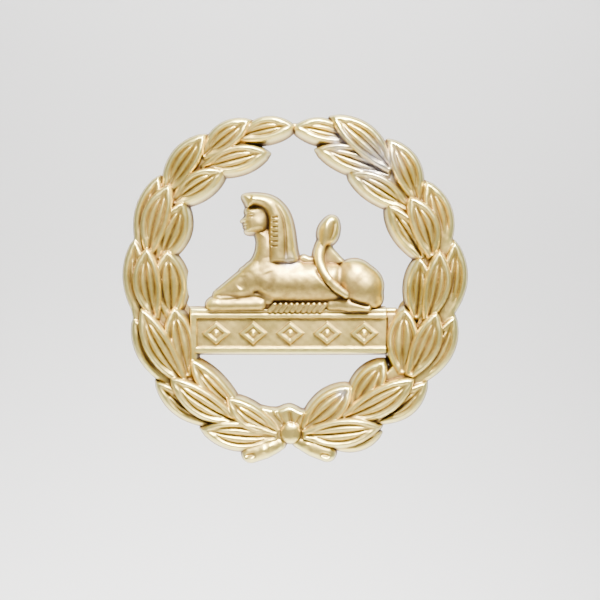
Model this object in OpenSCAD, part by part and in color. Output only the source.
// Cap badge: a lying sphinx on a tablet inside a laurel wreath, struck from thin sheet with a
// hollow back, with two wire lugs, a backing plate and a split pin that hold it to a cap.
//
// Millimetres. X is to the viewer's right, Z is up, and the face looks towards -Y. The back rim
// lies in the plane Y = 0. The origin is midway between the two lugs, on the back rim's plane.
// Each struck piece is drawn lying down, with its height along local Z, and stood up by stand().

/* [Struck sheet] */
// Thickness of the struck sheet
sheet_t = 0.75; // [0.5:0.05:0.95]
// How far a struck wall leans in between its foot and its edge
draft = 0.3; // [0.1:0.05:0.4]

/* [Wreath] */
// Radius of the circle that the middle of the wreath follows
wreath_r = 13.2; // [11:0.1:16]
// Height of the wreath's centre above the line between the lugs
wreath_rise = 4.5; // [3.7:0.1:5.4]
// Width of the widest leaves at their foot
leaf_w = 2.4; // [1.9:0.1:2.9]
// Height of the stem that the leaves lie on
stem_h = 1.6; // [1.4:0.05:1.9]
// Height of the crest of the topmost leaves
leaf_h = 2.6; // [2.4:0.05:3.2]

/* [Knot] */
// Diameter of the bead at the middle of the knot
bead_d = 1.5; // [1.2:0.1:1.8]
// Width of the fluted fan above the bead
fan_w = 3.9; // [3.2:0.1:4.7]
// Thickness of the two cut stem ends
stem_end_d = 1.2; // [1:0.1:1.4]

/* [Tablet] */
// Height of the tablet's face
tablet_h = 3.9; // [3.3:0.1:4.6]
// Depth of the tablet from its face to the back
tablet_d = 1.7; // [1.5:0.05:2.1]
// Width of the raised border lines
border_w = 0.3; // [0.2:0.05:0.5]
// How far the border and the ornament stand up from the field
ornament_h = 0.3; // [0.15:0.05:0.45]

/* [Sphinx] */
// Room left on the tablet before the paws and behind the rump
sphinx_margin = 1.2; // [1:0.1:2.5]
// Height of the flank above the back rim
flank_h = 3; // [2.5:0.1:3.5]

/* [Lugs] */
// Diameter of the lug wire
lug_wire_d = 1.1; // [0.9:0.05:1.4]
// Distance of the lugs inwards from the middle of the wreath
lug_inset = 1; // [0.6:0.1:1.2]
// Thickness of the cloth that the badge clamps
cloth_t = 3; // [2:0.1:4]

/* [Split pin] */
// Diameter of the two legs of the pin together
pin_d = 1.4; // [1.2:0.05:1.7]
// Gap all round the pin inside a lug
pin_clear = 0.15; // [0.1:0.05:0.3]
// How far the pin's tips stand out past the far lug
pin_tip = 1.6; // [1:0.1:2.5]

/* [Backing plate] */
// Thickness of the backing plate
plate_t = 0.5; // [0.4:0.05:0.8]
// Gap all round a lug inside its slot
slot_clear = 0.2; // [0.1:0.05:0.3]
// Metal left round each slot
slot_land = 1; // [0.8:0.1:1.2]

/* [Hidden] */

BRASS = [0.78, 0.66, 0.42];
COPPER = [0.72, 0.45, 0.3];
SOLDER = [0.62, 0.6, 0.55];
eps = 0.01;

// Leaves as [foot angle, foot offset, tip angle, tip offset, width share, outward bow, layer].
// Angles go up each side from the bottom, offsets are from the wreath's circle, and layer 0 lies
// lowest, behind its neighbours, and 2 on top.
LEFT_LEAVES = [
    [5, 0.9, 31, 2.7, 1, 0.3, 1], [5, 0.6, 29, -1.2, 0.8, 0.3, 1],
    [29, 1.8, 53, 2.5, 0.75, 0.3, 0], [21, -0.4, 52, -1.7, 0.8, 0.3, 1], [21, 0.5, 51, 0.9, 0.9, 0.3, 2],
    [50, 1.6, 76, 1.8, 0.8, 0.3, 0], [47, -0.3, 77, -2.3, 1, 0.1, 1], [46, 0.3, 79, 0.7, 0.9, 0.3, 2],
    [74, 1.1, 104, 1.8, 0.8, 0.4, 0], [72, -1.6, 103, -1.8, 1, 0, 1], [74, -0.3, 102, 0.3, 0.9, 0.3, 2],
    [100, 1.1, 126, 2.6, 0.8, 0.3, 0], [98, -1, 125, -1.2, 0.9, 0, 1], [100, 0, 127, 0.9, 0.9, 0.3, 2],
    [126, 1.2, 148, 2.5, 0.9, 0.3, 1], [122, -0.2, 147, -1.8, 0.9, 0.2, 1],
    [145, 0.8, 165, 2.2, 0.8, 0.3, 1], [140, -0.1, 167, -1.6, 0.9, 0.1, 1], [158, 0.5, 180, 0.8, 0.7, 0.3, 1]
];
RIGHT_LEAVES = [
    [12, 1.9, 29, 2.8, 0.6, 0.2, 0], [4, 0.3, 28, -2.5, 0.9, 0.1, 1], [4, 0.7, 30, 2.1, 0.9, 0.2, 2],
    [30, 1.5, 52, 2, 0.8, 0.3, 0], [23, -0.3, 48, -2.4, 0.9, 0, 1], [19, 0, 50, 0.8, 0.9, 0.3, 2],
    [50, 1.1, 77, 1.7, 0.8, 0.3, 0], [47, -0.6, 76, -2.4, 1, 0, 1], [47, 0, 77, 0.1, 0.9, 0.3, 2],
    [74, 0.8, 103, 1.8, 0.8, 0.4, 0], [72, -1.6, 100, -1.7, 0.8, 0.1, 1], [73, -0.7, 101, 0.2, 0.9, 0.3, 2],
    [100, 0.6, 126, 1.8, 0.9, 0.3, 0], [99, -1.3, 127, -2.4, 0.8, 0.1, 1], [99, -0.5, 125, -0.3, 0.9, 0.3, 2],
    [122, 0, 145, 2.3, 0.9, 0.3, 1], [121, -0.9, 151, -2.3, 0.8, 0.2, 1],
    [138, 0.1, 165, 2.4, 0.9, 0.3, 2], [137, -0.2, 168, -1.1, 0.8, 0.2, 1], [157, 0.5, 180, 0.6, 0.75, 0.3, 1]
];
layer_drop = 0.35;   // step down from one layer of leaves to the one behind it
leaf_lift = 0.45;    // how much higher a leaf's tip is than its foot
stem_w = 3.2;        // width of the stem band
trough_w = 1.7;      // width of the hollow along the back of the wreath
bridge_w = 0.9;      // width of the bar that joins the two sprays at the top
seam_x = -0.3;       // where the two sprays meet at the top, a little left of the middle
stem_from = 3;       // angle at which the stem starts, beside the knot
stem_thins = 155;    // angle at which the stem thins down to the bridge
stem_to = 184;       // angle at which the bridge ends, past the seam
trough_from = 16;    // angles at which the hollow starts and ends
trough_to = 158;
bridge_drop = 0.5;   // step down from the stem to the bridge

// The tablet reaches a little way into the innermost leaves at both ends.
tablet_top = tablet_h / 2;
inner_r = wreath_r - 2.9;
tablet_l = 2 * sqrt(inner_r * inner_r - wreath_rise * wreath_rise);
lozenges = 5;
lozenge_l = tablet_l / (lozenges + 2.5);
lozenge_pitch = 1.35 * lozenge_l;
lozenge_h = 0.52 * tablet_h;

trough_h = stem_h - sheet_t;

// Lugs stand on the middle of the wreath, level with the tablet.
loop_r = pin_d / 2 + pin_clear;
leg_z = loop_r + lug_wire_d / 2;
lug_x = sqrt(wreath_r * wreath_r - wreath_rise * wreath_rise) - lug_inset;
solder_r = lug_wire_d / 2 + 0.3;
solder_h = 0.6;
seat_r = solder_r + 0.1;

// Split pin: an eye outside the right lug, and two half-round legs through both lugs.
pin_split = 0.08;
eye_d = pin_d + 0.1;   // the wire is a little thicker where it is bent into the eye
eye_r = 0.6;
eye_x = lug_x + lug_wire_d / 2 + 0.1 + eye_r + eye_d / 2;
tip_x = lug_x + lug_wire_d / 2 + pin_tip;

// Backing plate: a neck behind the tablet with a slotted end round each lug.
plate_gap = 0.1;
pin_y = cloth_t + plate_t + plate_gap + eye_d / 2;
slot_w = lug_wire_d + 2 * slot_clear;
slot_l = 2 * (leg_z + lug_wire_d / 2 + slot_clear);
plate_end_w = slot_w + 2 * slot_land;
plate_end_h = slot_l + 2 * slot_land;
plate_neck_h = 3.4;
plate_corner_r = 1.6;

// Stands a piece up: local Z, its height, becomes -Y, and local Y becomes Z.
module stand() {
    rotate([90, 0, 0]) children();
}

// A place on the wreath, by angle up one side (-1 left, 1 right) and offset from the circle
function spot(a, offset, side) = [
    side * (wreath_r + offset) * sin(a), wreath_rise - (wreath_r + offset) * cos(a)
];

// Outline of a pointed leaf that lies along X and bows sideways
function leaf_side(l, w, bow, s) = [
    for (i = [1:8]) let (t = i / 9) [t * l, bow * 4 * t * (1 - t) + s * w / 2 * pow(sin(180 * t), 0.6)]
];
function leaf_outline(l, w, bow) = concat(
    [[0, 0]], leaf_side(l, w, bow, -1), [[l, 0]], [for (i = [7:-1:0]) leaf_side(l, w, bow, 1)[i]]
);

module leaf_slice(l, w, bow, inset) {
    translate([inset, 0]) linear_extrude(eps) polygon(leaf_outline(l - 2 * inset, w - 2 * inset, bow));
}

// One leaf: sloping walls, a crowned blade that rises to its tip, and a midrib
module leaf(l, w, bow, layer) {
    rib_r = 0.16;
    crown = 0.3;
    edge_h = leaf_h - (2 - layer) * layer_drop - leaf_lift - crown - rib_r;
    tilt = -asin(leaf_lift / l);
    hull() {
        leaf_slice(l, w, bow, 0);
        translate([0, 0, edge_h]) rotate([0, tilt, 0]) leaf_slice(l, w, bow, draft);
        translate([0, 0, edge_h + crown]) rotate([0, tilt, 0]) leaf_slice(l, w, bow, w * 0.3);
    }
    for (end = [0.12, 0.88]) hull() {
        translate([0, 0, edge_h + crown]) rotate([0, tilt, 0]) {
            translate([end * l, bow * 4 * end * (1 - end), -0.1]) sphere(r = rib_r, $fn = 8);
            translate([l / 2, bow, 0]) sphere(r = rib_r, $fn = 8);
        }
    }
}

// A band of rectangular section round the wreath on one side
module band(w, h, from, to, side) {
    start = side > 0 ? -90 + from : -90 - to;
    translate([0, wreath_rise, 0]) rotate([0, 0, start])
        rotate_extrude(angle = to - from, $fn = 120) translate([wreath_r - w / 2, 0]) square([w, h]);
}

module lug_legs(side, r, h) {
    for (s = [-1, 1]) translate([side * lug_x, s * leg_z, 0]) cylinder(r = r, h = h, $fn = 32);
}

// One spray, from the knot at the bottom to the middle of the bridge at the top
module spray(leaves, side) {
    far = 2 * wreath_r;
    stand() difference() {
        union() {
            band(stem_w, stem_h, stem_from, stem_thins, side);
            band(bridge_w, stem_h - bridge_drop, stem_thins, stem_to, side);
            for (row = leaves) {
                foot = spot(row[0], row[1], side);
                tip = spot(row[2], row[3], side);
                run = tip - foot;
                translate(foot) rotate(atan2(run[1], run[0]))
                    leaf(norm(run), leaf_w * row[4], -side * row[5], row[6]);
            }
        }
        translate([0, 0, -eps]) band(trough_w, trough_h + eps, trough_from, trough_to, side);
        translate([0, 0, -eps]) lug_legs(side, seat_r, trough_h + eps);
        tablet_room();
        knot_room();
        translate([side > 0 ? seam_x - far : seam_x, -far, -1]) cube([far, 2 * far, leaf_h + 2]);
        translate([-far, -2 * far, -2]) cube([2 * far, 3 * far, 2]);
    }
}

module wreath_left_spray() {
    color(BRASS) spray(LEFT_LEAVES, -1);
}

module wreath_right_spray() {
    color(BRASS) spray(RIGHT_LEAVES, 1);
}

// Knot: everything is placed from the bead, which sits on the wreath's circle at the bottom.
bead_y = wreath_rise - wreath_r - 0.4;
fan_top = 2.5;
stem_end_run = [[1.3, -1], [3.5, -2.2]];

module stem_end_outline(side) {
    hull() for (p = stem_end_run) translate([side * p[0], p[1]]) circle(d = stem_end_d, $fn = 24);
}

module knot_outline() {
    translate([seam_x, bead_y]) {
        polygon([
            [-1.3, -1.2], [1.3, -1.2], [1.1, 0], [fan_w / 2, fan_top - 0.5], [fan_w / 4, fan_top],
            [-fan_w / 4, fan_top], [-fan_w / 2, fan_top - 0.5], [-1.1, 0]
        ]);
        for (side = [-1, 1]) stem_end_outline(side);
    }
}

// Room that the sprays leave for the knot
module knot_room() {
    translate([0, 0, -1]) linear_extrude(leaf_h + 3) knot_outline();
}

module wreath_knot() {
    flutes = 5;
    color(BRASS) stand() intersection() {
        linear_extrude(leaf_h + 2) knot_outline();
        translate([seam_x, bead_y, 0]) {
            linear_extrude(stem_h - bridge_drop) square([4 * fan_w, 4 * fan_w], center = true);
            translate([0, 0, stem_h]) sphere(d = bead_d, $fn = 32);
            cylinder(d = bead_d, h = stem_h, $fn = 32);
            for (i = [0:flutes - 1]) {
                spread = (i / (flutes - 1) - 0.5) * 1.5;
                hull() {
                    translate([0.5 * spread, 0.2, stem_h]) sphere(r = 0.25, $fn = 16);
                    translate([spread * fan_w / 2, fan_top - 0.4, stem_h - 0.4]) sphere(r = 0.45, $fn = 16);
                }
            }
            for (side = [-1, 1]) hull() for (p = stem_end_run)
                translate([side * p[0], p[1], stem_end_d * 0.9]) sphere(d = stem_end_d, $fn = 24);
        }
    }
}

// Room that the sprays leave for the tablet's ends
module tablet_room() {
    translate([-tablet_l / 2, -tablet_h / 2 - draft, -1])
        cube([tablet_l, tablet_h + 2 * draft, leaf_h + 3]);
}

// Tablet: a box with leaning long walls, raised border lines and a row of raised lozenges
module tablet() {
    half = tablet_h / 2;
    field_d = tablet_d - ornament_h;
    pocket_h = tablet_h - 2 * (sheet_t + draft);
    color(BRASS) stand() difference() {
        union() {
            translate([-tablet_l / 2, 0, 0]) rotate([90, 0, 90]) linear_extrude(tablet_l) polygon([
                [-half - draft, 0], [half, 0], [half, tablet_d], [half - border_w, tablet_d],
                [half - border_w - 0.1, field_d], [-half + border_w + 0.1, field_d],
                [-half + border_w, tablet_d], [-half, tablet_d]
            ]);
            for (i = [0:lozenges - 1])
                translate([(i - (lozenges - 1) / 2) * lozenge_pitch, 0, 0])
                    linear_extrude(tablet_d - 0.05) polygon([
                        [-lozenge_l / 2, 0], [0, -lozenge_h / 2], [lozenge_l / 2, 0], [0, lozenge_h / 2]
                    ]);
        }
        translate([-tablet_l / 2 + 2 * sheet_t, -pocket_h / 2, -eps])
            cube([tablet_l - 4 * sheet_t, pocket_h, field_d - sheet_t + eps]);
    }
}

// Sphinx, in millimetres at its nominal length, standing on the line Y = 0 of its own frame
sphinx_nominal_l = 16.1;
sphinx_k = (tablet_l - 2 * sphinx_margin) / sphinx_nominal_l;

// A low mound with a leaning foot: place, radius, and height of its top
module mound(p, r, h) {
    translate([p[0], p[1], 0]) {
        linear_extrude(eps) circle(r = r, $fn = 24);
        top_r = r - draft;
        translate([0, 0, h - top_r * 0.55]) scale([1, 1, 0.55]) sphere(r = top_r, $fn = 24);
    }
}

module limb(p, q, rp, rq, hp, hq) {
    hull() {
        mound(p, rp, hp);
        mound(q, rq, hq);
    }
}

module sphinx_solid() {
    // body, shoulder and haunch
    limb([-2.4, 3.1], [3, 2.9], 2.1, 1.9, flank_h, flank_h - 0.2);
    limb([-3.1, 3.4], [-5.6, 1.7], 1.8, 1.3, flank_h - 0.1, flank_h - 0.7);
    limb([5.3, 2.7], [6, 2.1], 2.3, 2.2, flank_h, flank_h - 0.1);
    // lying forelegs and hind foot
    limb([-7.4, 0.7], [-3.4, 0.9], 0.7, 0.9, 1.9, 2.2);
    limb([3.4, 0.6], [6.6, 0.7], 0.6, 0.8, 1.8, 2.2);
    // neck, head and cloth headdress
    limb([-2.4, 5.6], [-2.2, 3.6], 1.4, 2, 2.5, flank_h - 0.2);
    limb([-3.4, 8], [-3.1, 7.2], 1.45, 1.1, 2.6, 2.4);
    limb([-4.1, 9.8], [-2, 9.1], 0.7, 1.1, 2.2, 2.6);
    limb([-1.9, 9.1], [-1, 7], 1.1, 1.1, 2.6, 2.5);
    limb([-1, 7], [-0.9, 4.6], 1.1, 1.2, 2.5, 2.5);
    // tail, its tuft, and the sheet left unpierced behind it
    limb([4.5, 1.7], [2.8, 3.6], 0.45, 0.45, flank_h + 0.1, flank_h + 0.1);
    limb([2.8, 3.6], [2.3, 5.2], 0.45, 0.45, flank_h + 0.1, 2.2);
    limb([2.3, 5.2], [2.8, 6.6], 0.5, 0.6, 2.2, 1.9);
    limb([2.9, 6.8], [3.5, 7.9], 0.85, 0.75, 2.1, 2);
    translate([2.2, 4.2, 0]) cube([2.2, 1.4, sheet_t]);
}

module sphinx_hollow() {
    limb([-2.4, 3.1], [3, 2.9], 1.2, 1, flank_h - sheet_t, flank_h - 0.2 - sheet_t);
    limb([5.3, 2.7], [6, 2.1], 1.3, 1.2, flank_h - sheet_t, flank_h - 0.1 - sheet_t);
}

module sphinx() {
    big = 3 * sphinx_nominal_l;
    color(BRASS) stand() translate([0.1, tablet_top, 0]) scale([sphinx_k, sphinx_k, 1]) difference() {
        sphinx_solid();
        translate([0, 0, -eps]) sphinx_hollow();
        translate([-big / 2, -big, -big / 2]) cube(big);
        translate([-big / 2, -big / 2, -big]) cube(big);
    }
}

// Lug: a wire loop standing out behind, open along X for the pin
module lug(side) {
    color(COPPER) translate([side * lug_x, 0, 0]) {
        for (s = [-1, 1]) translate([0, -trough_h, s * leg_z]) rotate([-90, 0, 0])
            cylinder(d = lug_wire_d, h = trough_h + pin_y, $fn = 32);
        translate([0, pin_y, 0]) rotate([0, 90, 0]) rotate_extrude(angle = 180, $fn = 48)
            translate([leg_z, 0]) circle(d = lug_wire_d, $fn = 32);
    }
}

module lug_left() {
    lug(-1);
}

module lug_right() {
    lug(1);
}

// Solder: a collar round each foot of a lug
module solder(side) {
    color(SOLDER) for (s = [-1, 1])
        translate([side * lug_x, -trough_h, s * leg_z]) rotate([-90, 0, 0]) difference() {
            cylinder(r1 = solder_r, r2 = lug_wire_d / 2 + 0.1, h = solder_h, $fn = 32);
            translate([0, 0, -1]) cylinder(d = lug_wire_d, h = solder_h + 2, $fn = 32);
        }
}

module lug_left_solder() {
    solder(-1);
}

module lug_right_solder() {
    solder(1);
}

// A rectangle with rounded corners about the origin
module rounded(w, h, r) {
    square([w - 2 * r, h], center = true);
    square([w, h - 2 * r], center = true);
    for (x = [-1, 1], y = [-1, 1]) translate([x * (w / 2 - r), y * (h / 2 - r)]) circle(r = r, $fn = 32);
}

module backing_plate() {
    color(BRASS) translate([0, cloth_t + plate_t, 0]) stand() linear_extrude(plate_t) difference() {
        union() {
            square([2 * lug_x, plate_neck_h], center = true);
            for (side = [-1, 1]) translate([side * lug_x, 0]) rounded(plate_end_w, plate_end_h, plate_corner_r);
        }
        for (side = [-1, 1]) translate([side * lug_x, 0]) rounded(slot_w, slot_l, slot_w / 2 - eps);
    }
}

module split_pin() {
    color(BRASS) translate([0, pin_y, 0]) difference() {
        union() {
            translate([-tip_x, 0, 0]) rotate([0, 90, 0]) cylinder(d = pin_d, h = tip_x + eye_x - eye_r, $fn = 32);
            translate([eye_x, 0, 0]) rotate([90, 0, 0]) rotate_extrude($fn = 48) intersection() {
                translate([eye_r, 0]) circle(d = eye_d, $fn = 32);
                translate([eye_r, -eye_d]) square([eye_d, 2 * eye_d]);
            }
        }
        translate([-tip_x - 1, -pin_d, -pin_split / 2]) cube([tip_x + eye_x + 1, 2 * pin_d, pin_split]);
        translate([eye_x, pin_d, 0]) rotate([90, 0, 0]) cylinder(r = eye_r, h = 2 * pin_d, $fn = 48);
    }
}

wreath_left_spray();
wreath_right_spray();
wreath_knot();
tablet();
sphinx();
lug_left();
lug_right();
lug_left_solder();
lug_right_solder();
backing_plate();
split_pin();
